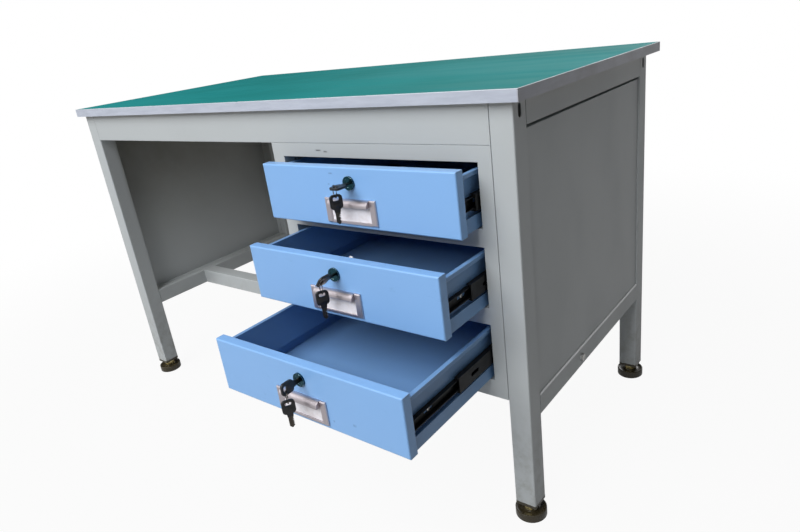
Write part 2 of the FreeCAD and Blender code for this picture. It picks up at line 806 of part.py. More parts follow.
def make_drawer_box(name, place):
    """Folded tray: skirts at the bottom, webs set in for the runners, flanges turned out on top."""
    tray = new_body(name + "_drawer_box", *place)
    skin = s.box_sheet
    start = s.front_thickness
    end = start + s.drawer_length
    section = [(box_half, box_bottom), (box_half, skirt_top), (web_half, skirt_top),
               (web_half, box_top - skin), (box_half - skin, box_top - skin),
               (box_half - skin, box_top - s.box_lip), (box_half, box_top - s.box_lip),
               (box_half, box_top), (web_half - skin, box_top), (web_half - skin, skirt_top - skin),
               (box_half - skin, skirt_top - skin), (box_half - skin, box_bottom + skin)]
    add(tray, "front", [both_sides(section)], start, end)
    raised = front_top - s.front_sheet
    ends = ((raised, start, start + skin), (box_top, end - skin, end))
    for wall_top, wall_start, wall_end in ends:
        wall = both_sides([(box_half, box_bottom), (box_half, skirt_top), (web_half, skirt_top),
                           (web_half, wall_top)])
        add(tray, "front", [wall], wall_start, wall_end)
    cut(tray, "front", [barrel_hole()], start, start + skin)


def make_drawer_front(name, place):
    """Folded pan with returns at the back; the tray's front wall closes it."""
    pan = new_body(name + "_drawer_front", *place)
    skin, edge = s.front_sheet, s.front_return + s.front_sheet
    depth = s.front_thickness
    add(pan, "front", [box(-front_half, front_bottom, front_half, front_top)], 0, depth)
    fillet(pan, s.front_round, edges(pan, y=[0]))
    hollow = box(-front_half + skin, front_bottom + skin, front_half - skin, front_top - skin)
    cut(pan, "front", [hollow], skin, depth - skin)
    mouth = box(-front_half + edge, front_bottom + edge, front_half - edge, front_top - edge)
    cut(pan, "front", [mouth], depth - skin, depth)
    cut(pan, "front", [barrel_hole()], 0, depth)


def make_pull(name, place):
    """Pressed plate with a hood to pull by between two raised ends, and a rim that holds a card."""
    x, y, z = place
    pull = new_body(name + "_label_pull", x - s.pull_offset, y, z)
    half, plate, wall, reach = s.pull_width / 2, s.pull_plate, s.pull_wall, s.hood_reach
    add(pull, "front", [box(-half, pull_bottom, half, pull_top)], -plate, 0)

    inner = half - s.side_pad_width
    pads = [box(-half, pull_bottom, -inner, pull_top), box(inner, pull_bottom, half, pull_top)]
    face = -plate - s.side_pad_height
    add(pull, "front", pads, face, -plate)
    chamfer(pull, s.side_pad_bevel, edges(pull, "z", y=[face]) + edges(pull, "x", y=[face]))

    hood_z = pull_top - reach
    lip_z = hood_z - s.hood_lip
    centre = (-plate, hood_z)
    shell = polygon((-plate, pull_top, centre, 1), (-plate - reach, hood_z), (-plate - reach, lip_z),
                    (wall - plate - reach, lip_z), (wall - plate - reach, hood_z, centre, -1),
                    (-plate, pull_top - wall))
    add(pull, "side", [shell], -inner, inner)
    cheek = [polygon((-plate, pull_top, centre, 1), (-plate - reach, hood_z), (-plate - reach, lip_z),
                     (-plate, lip_z))]
    add(pull, "side", cheek, -inner, wall - inner)
    add(pull, "side", cheek, inner - wall, inner)

    floor = pull_bottom + s.bottom_rim_width
    add(pull, "front", [box(-inner, pull_bottom, inner, floor)], -plate - s.bottom_rim_height, -plate)

    card = new_body(name + "_label_card", x - s.pull_offset, y, z)
    half_card = inner - s.card_fit
    add(card, "front", [box(-half_card, floor + s.card_fit, half_card, lip_z - s.card_fit)],
        -plate - s.card_thickness, -plate)


# ---------------------------------------------------------------- locks and keys
def make_lock_housing(name, place):
    """Flatted barrel with a round face, and the hexagon nut that clamps it from inside the drawer."""
    x, y, z = place
    housing = new_body(name + "_lock_housing", x, y, z + lock_z)
    bore = disc(0, 0, plug_radius + s.plug_fit)
    add(housing, "front", [disc(0, 0, s.lock_face_diameter / 2), bore], -s.lock_face_height, 0)
    barrel = flatted(Size(0), barrel_radius, s.barrel_flats)
    add(housing, "front", [barrel, bore], 0, s.barrel_length)
    nut_start = s.front_thickness + s.box_sheet
    nut = [hexagon(Size(0), Size(0), s.nut_width), disc(0, 0, barrel_radius + s.barrel_fit)]
    add(housing, "front", nut, nut_start, nut_start + s.nut_height)


def turned_body(label, place, degrees):
    """Body on a lock's axis, turned about that axis by the lock's angle as it stands."""
    x, y, z = place
    body = new_body(label, x, y, z + lock_z)
    body.Placement.Rotation = Rotation(Vector(0, -1, 0), degrees)
    return body


def make_lock_plug(name, place, degrees):
    plug = turned_body(name + "_lock_plug", place, degrees)
    face = s.plug_recess - s.lock_face_height
    cam_start = s.barrel_length + s.cam_gap
    cam_end = cam_start + s.cam_thickness
    add(plug, "front", [disc(0, 0, plug_radius)], face, cam_start)
    half = s.cam_width / 2
    tip = half - s.cam_reach
    cam = polygon((-half, half), (-half, tip, (0, tip), 1), (half, tip), (half, half))
    add(plug, "front", [cam], cam_start, cam_end)
    screw = hexagon(Size(0), Size(0), s.cam_screw_width)
    add(plug, "front", [screw], cam_end, cam_end + s.cam_screw_height)
    keyway_half = s.blade_thickness / 2 + s.keyway_fit
    keyway_high = s.blade_width / 2 + s.keyway_fit
    cut(plug, "front", [box(-keyway_half, -keyway_high, keyway_half, keyway_high)], face, key_tip)


# Key frame: y from the drawer's face along the lock's axis, with the bow towards the user.
bow_end = -s.key_stand
bow_start = bow_end + s.bow_length
neck_start = bow_start + s.neck_length
key_tip = neck_start + s.blade_length
hole_near = bow_end + s.bow_rim
hole_far = hole_near + s.bow_hole_length
hole_middle = (hole_near + hole_far) / 2


def shape_key(key):
    """Moulded bow with a slot for the ring, neck and cut blade, in the body's YZ plane."""
    half_bow, half_blade = s.bow_thickness / 2, s.blade_thickness / 2
    half_width = s.bow_width / 2
    add(key, "side", [box(bow_end, -half_width, bow_start, half_width)], -half_bow, half_bow)
    chamfer(key, s.bow_corner, edges(key, "x"))
    hole_half = s.bow_hole_width / 2
    cut(key, "side", [box(hole_near, -hole_half, hole_far, hole_half)], -half_bow, half_bow)
    neck = s.neck_width / 2
    add(key, "side", [box(bow_start, -neck, neck_start, neck)], -half_bow, half_bow)
    add(key, "side", [blade_outline()], -half_blade, half_blade)


def blade_outline():
    """Flat blade with a row of V-shaped cuts along its upper edge and a pointed tip."""
    blade = s.blade_width / 2
    points = [(neck_start, blade), (neck_start, -blade), (key_tip - blade, -blade), (key_tip, 0),
              (key_tip - blade, blade)]
    pitch_along = (s.blade_length - s.bitting_start - blade) / len(KEY_CUTS)
    mouth, land = pitch_along * (1 - CUT_RIDGE) / 2, s.bitting_land / 2
    for number, share in reversed(list(enumerate(KEY_CUTS))):
        middle = neck_start + s.bitting_start + pitch_along * (number + 0.5)
        depth = s.blade_width * share
        points += [(middle + mouth, blade), (middle + land, blade - depth),
                   (middle - land, blade - depth), (middle - mouth, blade)]
    return polygon(*points)


def ring_centre(degrees):
    """Where the ring's middle hangs, counted across, back and up from the lock's axis and the hole.

    It hangs on the lower side bar of the bow, and the bar's four corners all lie inside it.
    """
    side = 1 if degrees < 90 else -1
    out_x, out_z = side * math.sin(math.radians(degrees)), -side * math.cos(math.radians(degrees))
    corners = [(out * out_x - up * out_z, out * out_z + up * out_x)
               for out in (s.bow_hole_width / 2, s.bow_width / 2)
               for up in (s.bow_thickness / 2, -s.bow_thickness / 2)]
    highest = max(z.value for _, z in corners)
    bearing = [x for x, z in corners if math.isclose(z.value, highest, abs_tol=1e-6)]
    centre_x = sum(bearing) / len(bearing)
    reach = s.ring_outer_radius - s.ring_band - s.ring_play
    slant = 1 / math.cos(math.radians(RING_TURN))
    levels = [z - root(reach * reach - (x - centre_x) * (x - centre_x) * slant ** 2) for x, z in corners]
    centre_z = max(levels, key=lambda level: level.value)
    # The turned ring passes through the middle of the hole, where it meets the bow's own plane.
    off_plane = centre_x * out_z - centre_z * out_x
    hole_out = centre_x * out_x + centre_z * out_z - root(reach * reach - off_plane * off_plane)
    back = (hole_out * out_x - centre_x) * math.tan(math.radians(RING_TURN))
    return centre_x, back, centre_z


def make_ring(name, x, y, z):
    ring = new_body(name + "_key_ring", x, y, z)
    ring.Placement.Rotation = Rotation(Vector(0, 0, 1), -RING_TURN)
    outer, half = s.ring_outer_radius, s.ring_width / 2
    add(ring, "front", [disc(0, 0, outer), disc(0, 0, outer - s.ring_band)], -half, half)


def make_keys(name, place, degrees):
    """A key in the lock, a ring hung on its bow, and a spare key hung on the ring with its bow up."""
    shape_key(turned_body(name + "_key", place, degrees))

    across, back, up = ring_centre(degrees)
    x, y, z = place
    ring_x, ring_y, ring_z = x + across, y + hole_middle + back, z + lock_z + up
    make_ring(name, ring_x, ring_y, ring_z)

    hung = ring_z - s.ring_outer_radius + s.ring_band + s.ring_play + hole_near
    spare = new_body(name + "_spare_key", ring_x, ring_y, hung)
    spare.Placement.Rotation = Rotation(Vector(0, 0, 1), -RING_TURN) * Rotation(Vector(1, 0, 0), -90)
    shape_key(spare)


# ---------------------------------------------------------------- the whole bench
def build():
    make_top()
    for place, (x, y) in leg_places.items():
        make_leg(place, x, y)
        make_foot(place, x, y)
    make_aprons()
    make_side_frame("left", -1)
    make_side_frame("right", 1)
    make_cross_rail()
    make_fasteners()
    make_foot_inserts()
    make_cabinet()
    make_face_frame()
    make_posts()
    make_cabinet_runners()
    for name, degrees in LOCK_TURNS.items():
        place = (drawer_x, frame_front - opened[name], opening_levels[name])
        make_drawer_box(name, place)
        make_drawer_front(name, place)
        make_pull(name, place)
        make_lock_housing(name, place)
        make_lock_plug(name, place, degrees)
        make_keys(name, place, degrees)
        make_drawer_runners(name, place)
        make_extension_runners(name)


def check_and_write():
    doc.recompute()
    for made in doc.Objects:
        if "Invalid" in made.State or "Error" in made.State:
            raise RuntimeError("%s is %s" % (made.Label, made.State))
    nodes = [made for made in doc.Objects if made.TypeId == "PartDesign::Body"]
    for node in nodes:
        if node.Shape.isNull() or not node.Shape.isValid():
            raise RuntimeError(node.Label + " has no valid shape")
    os.makedirs("parts", exist_ok=True)
    for node in nodes:
        node.Shape.exportStep("parts/%s.step" % node.Label)
    print(len(nodes), "nodes written")


build()
doc.recompute()
check_and_write()
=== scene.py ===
import json
import math

import bmesh
import bpy
from mathutils import Matrix, Vector


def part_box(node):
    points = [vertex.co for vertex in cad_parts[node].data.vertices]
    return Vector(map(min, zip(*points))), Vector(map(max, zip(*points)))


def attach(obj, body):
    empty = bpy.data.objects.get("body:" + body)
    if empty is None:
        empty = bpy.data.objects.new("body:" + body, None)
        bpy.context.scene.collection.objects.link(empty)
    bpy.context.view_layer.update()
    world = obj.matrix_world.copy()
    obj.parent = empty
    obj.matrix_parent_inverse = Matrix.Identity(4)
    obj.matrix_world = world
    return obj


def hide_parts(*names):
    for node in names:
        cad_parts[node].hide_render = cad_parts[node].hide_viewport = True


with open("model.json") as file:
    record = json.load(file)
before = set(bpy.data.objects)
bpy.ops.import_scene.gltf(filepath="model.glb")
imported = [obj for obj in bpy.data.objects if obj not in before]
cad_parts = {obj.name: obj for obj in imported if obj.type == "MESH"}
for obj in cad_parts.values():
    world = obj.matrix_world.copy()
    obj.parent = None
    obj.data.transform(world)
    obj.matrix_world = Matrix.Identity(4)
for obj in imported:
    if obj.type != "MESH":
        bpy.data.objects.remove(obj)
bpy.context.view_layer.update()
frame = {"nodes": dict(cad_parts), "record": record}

# Steel workbench with a matted top, an open knee space and a cabinet of three locking drawers.
# Metres, in the model's own frame: +X to the right, +Y to the back, +Z up.
MM = 0.001
DRAWERS = ("top", "middle", "bottom")
LEGS = ("front_left", "front_right", "back_left", "back_right")
# How far each lock is turned from cam down towards cam up, in degrees.
LOCK_TURNS = {"top": 90, "middle": 142, "bottom": 0}
# How far the key rings are turned about the upright axis, in degrees.
RING_TURN = 30


def srgb(red, green, blue):
    """Shader colour of a colour given as it looks, in steps of 0 to 255."""
    shares = [channel / 255 for channel in (red, green, blue)]
    linear = [c / 12.92 if c <= 0.04045 else ((c + 0.055) / 1.055) ** 2.4 for c in shares]
    return (*linear, 1)


# ---------------------------------------------------------------- camera
CAMERA_PLACE = (0.9892, -1.0388, 0.8303)
CAMERA_RIGHT = (0.78786, 0.60321, -0.12415)
CAMERA_UP = (-0.12881, 0.35853, 0.92459)
CAMERA_BACK = (0.60223, -0.71246, 0.36017)
LENS_MM, SENSOR_MM = 27.897, 36
VIEW_DEPTH = 50


def place_camera():
    data = bpy.data.cameras.new("camera")
    data.lens = LENS_MM
    data.sensor_width = SENSOR_MM
    data.clip_end = VIEW_DEPTH
    camera = bpy.data.objects.new("camera", data)
    turn = Matrix((CAMERA_RIGHT, CAMERA_UP, CAMERA_BACK)).transposed().to_4x4()
    camera.matrix_world = Matrix.Translation(CAMERA_PLACE) @ turn
    bpy.context.collection.objects.link(camera)
    bpy.context.scene.camera = camera


# ---------------------------------------------------------------- shader maths
class Field:
    """A number, colour or vector over the surface. Arithmetic on numbers adds Math nodes."""

    def __init__(self, tree, output):
        self.tree = tree
        self.output = output

    def math(self, operation, *values):
        return self.tree.node("ShaderNodeMath", {"operation": operation}, dict(enumerate(values)))

    def __add__(self, other):
        return self.math("ADD", self, other)

    def __sub__(self, other):
        return self.math("SUBTRACT", self, other)

    def __rsub__(self, other):
        return self.math("SUBTRACT", other, self)

    def __mul__(self, other):
        return self.math("MULTIPLY", self, other)

    def __abs__(self):
        return self.math("ABSOLUTE", self)

    __radd__ = __add__
    __rmul__ = __mul__

    def rise(self, low, high):
        """0 below low, 1 above high, and a soft step between; low may be the larger."""
        settings = {"interpolation_type": "SMOOTHSTEP"}
        values = {"Value": self, "From Min": low, "From Max": high}
        return self.tree.node("ShaderNodeMapRange", settings, values)

    def near(self, place, width, soft):
        """1 within width of a place, fading out over the soft distance."""
        return abs(self - place).rise(width + soft, width)


class Tree:
    """The nodes of a material or of the world, under construction."""

    def __init__(self, owner):
        owner.use_nodes = True
        self.nodes, self.links = owner.node_tree.nodes, owner.node_tree.links

    def node(self, kind, settings=None, values=None, output=0):
        made = self.nodes.new(kind)
        for name, setting in (settings or {}).items():
            setattr(made, name, setting)
        self.feed(made, values or {})
        return Field(self, made.outputs[output])

    def feed(self, made, values):
        for name, value in values.items():
            if isinstance(value, Field):
                self.links.new(value.output, made.inputs[name])
            else:
                made.inputs[name].default_value = value

    def split(self, vector):
        outputs = self.node("ShaderNodeSeparateXYZ", values={0: vector}).output.node.outputs
        return [Field(self, output) for output in outputs]

    def dot(self, first, second):
        settings = {"operation": "DOT_PRODUCT"}
        return self.node("ShaderNodeVectorMath", settings, {0: first, 1: second}, "Value")

    def ray(self, kind):
        """1 for rays of a kind, which is Camera, Glossy or Transmission, and 0 for others."""
        return self.node("ShaderNodeLightPath", output="Is %s Ray" % kind)


class Finish(Tree):
    """A material under construction, with its shader and the object's own coordinates."""

    def __init__(self, name):
        self.material = bpy.data.materials.new(name)
        super().__init__(self.material)
        self.shader = self.nodes["Principled BSDF"]
        self.place = self.node("ShaderNodeTexCoord", output="Object")
        self.x, self.y, self.z = self.split(self.place)

    def noise(self, scale, detail=2.0, roughness=0.5, stretch=None):
        """Cloudy noise from 0 to 1, scale in repeats per metre."""
        place = self.place
        if stretch:
            place = self.node("ShaderNodeVectorMath", {"operation": "MULTIPLY"}, {0: place, 1: stretch})
        values = {"Vector": place, "Scale": scale, "Detail": detail, "Roughness": roughness}
        return self.node("ShaderNodeTexNoise", values=values)

    def cells(self, scale, output="Distance"):
        """Distance to the nearest of scattered points, about scale of them per metre."""
        values = {"Vector": self.place, "Scale": scale}
        return self.node("ShaderNodeTexVoronoi", values=values, output=output)

    def mix(self, first, second, share, blend="MIX"):
        settings = {"data_type": "RGBA", "blend_type": blend}
        return self.node("ShaderNodeMix", settings, {0: share, 6: first, 7: second}, 2)

    def shade(self, colour, factor):
        """Colour made darker or lighter by a factor near 1 that varies over the surface."""
        grey = self.node("ShaderNodeCombineColor", values={0: factor, 1: factor, 2: factor})
        return self.mix(colour, grey, 1.0, "MULTIPLY")

    def rounded(self, radius):
        """Normal that looks rounded along sharp edges."""
        return self.node("ShaderNodeBevel", {"samples": 4}, {"Radius": radius})

    def edge(self, rounded):
        """1 along sharp edges, 0 on flat faces, by the angle between rounded and flat normal."""
        flat = self.node("ShaderNodeNewGeometry", output="Normal")
        return self.dot(rounded, flat).rise(0.995, 0.86)

    def bump(self, height, distance, strength=1.0, normal=None):
        values = {"Height": height, "Distance": distance, "Strength": strength}
        if normal:
            values["Normal"] = normal
        return self.node("ShaderNodeBump", values=values)

    def surface(self, **values):
        """Set the shader's sockets, named with underscores, and give back the material."""
        self.feed(self.shader, {name.replace("_", " "): value for name, value in values.items()})
        return self.material


# ---------------------------------------------------------------- finishes
# Where marks, painted highlights and painted shade lie. A pair runs from where the mark is absent to
# where it is full.
FRAME_FRONT, DRAWER_FRONTS = (-0.287, -0.2878), (-0.335, -0.338)
SEAM_X, SEAM_FOOT = -0.547, (0.655, 0.657)
LIP_Z, LIP_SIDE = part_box("right_lower_rail")[1][2], (0.582, 0.584)
LIP_START, LIP_END = (-0.251, -0.249), (0.229, 0.227)
KNEE_LEFT, KNEE_RIGHT, KNEE_FRONT = (-0.5818, -0.5812), (0.085, 0.08), (-0.262, -0.24)
KNEE_SHADE_LEVELS, LOW_PATCH_LEVELS = (0.25, 0.68), (0.30, 0.03)
ARRIS_LOW, ARRIS_HIGH = 0.7352, 0.7357
RIGHT_BAND = (0.5982, 0.5986)
# X, Z and half width of each scuff; X, Z and the reach sideways and upwards of each smudge.
SCUFFS = ((0.205, 0.6465, 0.006), (0.222, 0.6445, 0.004))
SMUDGES = ((0.281, 0.623, 0.004, 0.0012), (0.274, 0.605, 0.002, 0.001),
           (0.380, 0.291, 0.0015, 0.0015), (0.423, 0.297, 0.003, 0.002))
CHIPS_PER_METRE = 330.0


def powder_coat(name, colour, pale, roughness, marks, edge_highlight_share=0.5):
    """Baked powder paint: fine orange peel, cloudy tone, and a painted highlight, paler, along sharp
    edges.
    """
    paint = Finish(name)
    cloud = paint.noise(5, 3, 0.55)
    grain = paint.noise(900, 1)
    rounded = paint.rounded(0.9 * MM)
    base = paint.shade(colour, 0.955 + cloud * 0.07 + grain * 0.02)
    # Painted highlight: a paler colour along sharp edges.
    base = paint.mix(base, pale, paint.edge(rounded) * edge_highlight_share)
    smear = paint.noise(11, 4, 0.6, (1, 1, 0.4))
    return paint.surface(
        Base_Color=marks(paint, base),
        Roughness=roughness + smear.rise(0.42, 0.7) * 0.09,
        Normal=paint.bump(paint.noise(620, 2, 0.6), 0.06 * MM, 0.5, rounded),
        Coat_Weight=0.12,
        Coat_Roughness=0.18,
    )


def frame_marks(paint, base):
    """Grey frame: a seam by the apron, a painted highlight on the lip, painted shade in the knee space,
    darker warmer patches towards the floor, and scuffs.
    """
    front = paint.y.rise(*FRAME_FRONT)
    seam = paint.x.near(SEAM_X, 0.3 * MM, 0.7 * MM) * paint.z.rise(*SEAM_FOOT) * front
    base = paint.mix(base, srgb(84, 88, 92), seam * 0.7)

    # Painted highlight: a near-white line along the top of the right-hand lower rail.
    lip_highlight = paint.z.near(LIP_Z, 1.6 * MM, 1 * MM) * paint.x.rise(*LIP_SIDE)
    lip_highlight = lip_highlight * paint.y.rise(*LIP_START) * paint.y.rise(*LIP_END)
    base = paint.mix(base, srgb(244, 246, 248), lip_highlight)

    # Painted shade in the knee space: darker towards the underside of the top.
    knee = paint.x.rise(*KNEE_LEFT) * paint.x.rise(*KNEE_RIGHT) * paint.y.rise(*KNEE_FRONT)
    knee_shade = paint.z.rise(*KNEE_SHADE_LEVELS) * (0.75 + paint.noise(9, 4, 0.6) * 0.5)
    base = paint.mix(base, srgb(92, 90, 76), knee * knee_shade * 0.75)

    # Darker, warmer patches towards the floor.
    low_patches = paint.z.rise(*LOW_PATCH_LEVELS) * paint.noise(38, 5, 0.7).rise(0.4, 0.75)
    base = paint.mix(base, srgb(118, 114, 102), low_patches * 0.5)

    ragged = paint.noise(420, 3).rise(0.3, 0.55)
    for x, z, half_width in SCUFFS:
        scuff = paint.x.near(x, half_width / 2, half_width) * paint.z.near(z, 0.6 * MM, 1.4 * MM)
        base = paint.mix(base, srgb(70, 70, 72), scuff * front * ragged * 0.8)
    return base


def drawer_marks(paint, base):
    """Blue drawers: faint rubbing, and small smudges on the fronts of the top and bottom ones."""
    rub = paint.noise(26, 5, 0.65, (1, 1, 2.2)).rise(0.63, 0.78) * paint.noise(150, 3).rise(0.4, 0.6)
    base = paint.mix(base, srgb(96, 134, 184), rub * 0.3)
    on_front = paint.noise(520, 4, 0.7).rise(0.3, 0.6) * paint.y.rise(*DRAWER_FRONTS)
    for x, z, wide, high in SMUDGES:
        smudge = paint.x.near(x, wide / 2, wide) * paint.z.near(z, high / 2, high)
        base = paint.mix(base, srgb(74, 108, 160), smudge * on_front * 0.7)
    return base


def bench_mat():
    """Green-blue vinyl with a fine pebbled face, long faint wiping marks and a darker cut edge."""
    vinyl = Finish("bench_mat")
    cloud = vinyl.noise(3.5, 3, 0.5)
    pebble = vinyl.cells(520)
    wiped = vinyl.noise(9, 4, 0.55, (0.25, 1.6, 1))
    base = vinyl.mix(srgb(16, 126, 125), srgb(24, 136, 137), cloud.rise(0.3, 0.7))
    base = vinyl.shade(base, 0.95 + pebble * 0.1)
    base = vinyl.mix(base, srgb(16, 74, 70), vinyl.z.rise(ARRIS_HIGH, ARRIS_LOW) * 0.6)
    return vinyl.surface(
        Base_Color=base,
        Roughness=0.5 + wiped.rise(0.35, 0.7) * 0.12,
        Normal=vinyl.bump(pebble, 0.12 * MM, 0.35),
        Specular_IOR_Level=0.3,
    )


def edge_band():
    """Glued plastic band: smooth, pale and thumbed, with painted shade, darker and browner, along the
    right-hand edge.
    """
    band = Finish("edge_band")
    long_grain = band.noise(160, 3, 0.6, (0.12, 0.12, 1))
    thumbed_and_shade = band.noise(16, 4, 0.6).rise(0.35, 0.75)
    # Painted shade: the right-hand band is mixed darker and browner, more so in patches.
    right = band.x.rise(*RIGHT_BAND)
    base = band.mix(srgb(182, 188, 201), srgb(171, 177, 190), long_grain.rise(0.3, 0.7))
    base = band.mix(base, srgb(150, 146, 146), right * (0.3 + thumbed_and_shade * 0.3))
    # Painted highlight: a paler line along the top of the band.
    top_highlight = band.z.rise(ARRIS_LOW, ARRIS_HIGH)
    base = band.mix(base, srgb(214, 216, 222), top_highlight * 0.7)
    return band.surface(
        Base_Color=base,
        Roughness=0.34 + thumbed_and_shade * 0.14,
        Normal=band.bump(band.noise(700, 2), 0.04 * MM, 0.4),
    )


def pressed_board():
    """Underside and core of the top: fine pale chips pressed together."""
    board = Finish("pressed_board")
    blotch = board.noise(230, 4, 0.7).rise(0.35, 0.65)
    base = board.mix(srgb(188, 163, 124), srgb(150, 122, 86), blotch)
    return board.surface(
        Base_Color=board.mix(base, board.cells(CHIPS_PER_METRE, "Color"), 0.12),
        Roughness=0.78,
        Normal=board.bump(board.cells(CHIPS_PER_METRE), 0.2 * MM, 0.5),
    )


def metal(name, colour, roughness, brushed=0.0, tint=None, metallic=1.0, edge_highlight=None):
    """Bare or plated steel with a fine directional grain and faint stains."""
    steel = Finish(name)
    stain = steel.noise(60, 4, 0.6)
    grain = steel.noise(2600, 2, 0.5, (1, 1, 0.05))
    base = steel.shade(colour, 0.92 + stain * 0.12)
    if tint:
        base = steel.mix(base, tint, steel.noise(170, 3, 0.6).rise(0.42, 0.68))
    rounded = steel.rounded(0.35 * MM)
    # Painted highlight: a paler colour along sharp edges.
    if edge_highlight:
        base = steel.mix(base, edge_highlight, steel.edge(rounded) * 0.8)
    return steel.surface(
        Base_Color=base,
        Metallic=metallic,
        Roughness=roughness + stain.rise(0.4, 0.75) * 0.08 + grain * 0.06,
        Normal=steel.bump(grain, 0.03 * MM, brushed, rounded),
    )


def runner_steel():
    """Black lacquered runners, rubbed to bare steel where the balls roll, with a painted highlight
    along sharp edges.
    """
    steel = Finish("runner_steel")
    rubbed = steel.noise(90, 4, 0.65, (1, 0.08, 1)).rise(0.58, 0.74)
    rounded = steel.rounded(0.4 * MM)
    base = steel.mix(srgb(9, 9, 11), srgb(48, 50, 56), rubbed * 0.25)
    # Painted highlight: a paler grey along sharp edges.
    base = steel.mix(base, srgb(72, 75, 82), steel.edge(rounded) * 0.25)
    return steel.surface(
        Base_Color=base,
        Metallic=rubbed * 0.4,
        Roughness=0.4 + steel.noise(40, 4).rise(0.3, 0.7) * 0.14,
        Normal=steel.bump(steel.noise(800, 2), 0.04 * MM, 0.4, rounded),
        Specular_IOR_Level=0.3,
    )


def moulded(name, colour, pale, roughness):
    """Moulded plastic: fine spark-eroded grain, and a painted highlight, paler, along its arrises."""
    plastic = Finish(name)
    rounded = plastic.rounded(0.4 * MM)
    grain = plastic.noise(1500, 2, 0.6)
    base = plastic.shade(colour, 0.85 + plastic.noise(70, 4) * 0.3)
    return plastic.surface(
        # Painted highlight: a paler colour along the arrises.
        Base_Color=plastic.mix(base, pale, plastic.edge(rounded) * 0.35),
        Roughness=roughness + plastic.noise(120, 4, 0.6).rise(0.4, 0.7) * 0.12,
        Normal=plastic.bump(grain, 0.05 * MM, 0.5, rounded),
    )


def label_card():
    """Blank white card with a faint fibre and slightly yellowed patches."""
    card = Finish("label_card")
    yellowed = card.noise(70, 4, 0.6).rise(0.4, 0.75)
    return card.surface(
        Base_Color=card.mix(srgb(240, 238, 244), srgb(226, 221, 224), yellowed),
        Roughness=0.62,
        Normal=card.bump(card.noise(1300, 4, 0.7), 0.05 * MM, 0.4),
    )


def make_finishes():
    """One material for each of the record's slots, and a few more for the fine parts."""
    coats = {
        "grey_paint": powder_coat("grey_paint", srgb(176, 181, 183), srgb(206, 211, 214), 0.42,
                                  frame_marks),
        "blue_paint": powder_coat("blue_paint", srgb(129, 175, 227), srgb(200, 222, 250), 0.33,
                                  drawer_marks, 0.75),
        # Darker copy of the blue paint for the drawer boxes: painted shade.
        "shaded_blue_paint": powder_coat("shaded_blue_paint", srgb(112, 153, 200), srgb(186, 214, 246), 0.38,
                                  drawer_marks, 0.75),
    }
    metals = {
        "runner_steel": runner_steel(),
        "zinc": metal("zinc", srgb(190, 192, 194), 0.28, 0.3, srgb(160, 158, 150)),
        # Steel for the cams, painted near-white and half dull: a painted highlight.
        "cam_steel_glint": metal("cam_steel_glint", srgb(244, 244, 242), 0.36, metallic=0.35),
        # Yellow zinc, painted paler and half dull: a painted glint on the foot collars.
        "yellow_zinc_glint": metal("yellow_zinc_glint", srgb(246, 230, 170), 0.3, 0.3, srgb(206, 182, 112), 0.6),
        # Pale edges on the chrome: a painted highlight.
        "chrome": metal("chrome", srgb(196, 188, 193), 0.27, edge_highlight=srgb(250, 248, 250)),
        # Dark teal on the lock chrome: a painted reflection; its pale edges a painted highlight.
        "lock_chrome": metal("lock_chrome", srgb(34, 72, 84), 0.13, edge_highlight=srgb(196, 226, 228)),
        "key_steel": metal("key_steel", srgb(84, 79, 73), 0.3, 0.4),
    }
    others = {
        "mat": bench_mat(),
        "board": pressed_board(),
        "edging": edge_band(),
        "black_plastic": moulded("black_plastic", srgb(54, 48, 33), srgb(128, 116, 84), 0.22),
        "key_plastic": moulded("key_plastic", srgb(18, 18, 20), srgb(44, 44, 47), 0.34),
        "card": label_card(),
    }
    return {**coats, **metals, **others}


def dress_model(finishes):
    """Give every node of the model the finish of its slot; the drawer boxes get a darker copy of the
    blue paint, as painted shade.
    """
    for part in frame["record"]["subparts"]:
        node = frame["nodes"][part["node"]]
        finish = "shaded_blue_paint" if part["node"].endswith("_drawer_box") else part["material_slot"]
        for slot in node.material_slots:
            slot.material = finishes[finish]


# ---------------------------------------------------------------- making pieces
# Faces that meet at less than this angle are shaded as one, in degrees.
SMOOTH_ANGLE = 35
SAME_POINT = 1e-7


def turned(profile, steps):
    """Body of revolution about Z, from radius and level points that start and end on the axis."""
    mesh = bmesh.new()
    points = [mesh.verts.new((radius, 0, level)) for radius, level in profile]
    for first, second in zip(points, points[1:]):
        mesh.edges.new((first, second))
    bmesh.ops.spin(mesh, geom=mesh.verts[:] + mesh.edges[:], cent=(0, 0, 0), axis=(0, 0, 1),
                   angle=math.tau, steps=steps, use_merge=True)
    bmesh.ops.remove_doubles(mesh, verts=mesh.verts, dist=SAME_POINT)
    return mesh


def block(mesh, middle, size):
    """Add a box to a mesh."""
    place = Matrix.Translation(middle) @ Matrix.Diagonal((*size, 1))
    bmesh.ops.create_cube(mesh, size=1, matrix=place)


def hexagon(radius, height, place, corner):
    """Hexagonal prism about the middle of a matrix, with softened edges."""
    prism = bmesh.new()
    bmesh.ops.create_cone(prism, cap_ends=True, segments=6, radius1=radius, radius2=radius,
                          depth=height, matrix=place)
    soften(prism, corner, 2)
    return prism


def soften(mesh, width, segments, angle=50):
    """Bevel every edge that turns by more than an angle in degrees."""
    sharp = [edge for edge in mesh.edges
             if len(edge.link_faces) == 2 and edge.calc_face_angle() > math.radians(angle)]
    bmesh.ops.bevel(mesh, geom=sharp, offset=width, segments=segments, profile=0.5, affect="EDGES",
                    material=-1, clamp_overlap=True)


def join(meshes):
    """One mesh of several, which are used up."""
    whole = bmesh.new()
    for mesh in meshes:
        data = bpy.data.meshes.new("joined")
        mesh.to_mesh(data)
        mesh.free()
        whole.from_mesh(data)
        bpy.data.meshes.remove(data)
    return whole


def placed(mesh, place):
    """Move a mesh by a matrix."""
    bmesh.ops.transform(mesh, matrix=place, verts=mesh.verts)
    return mesh


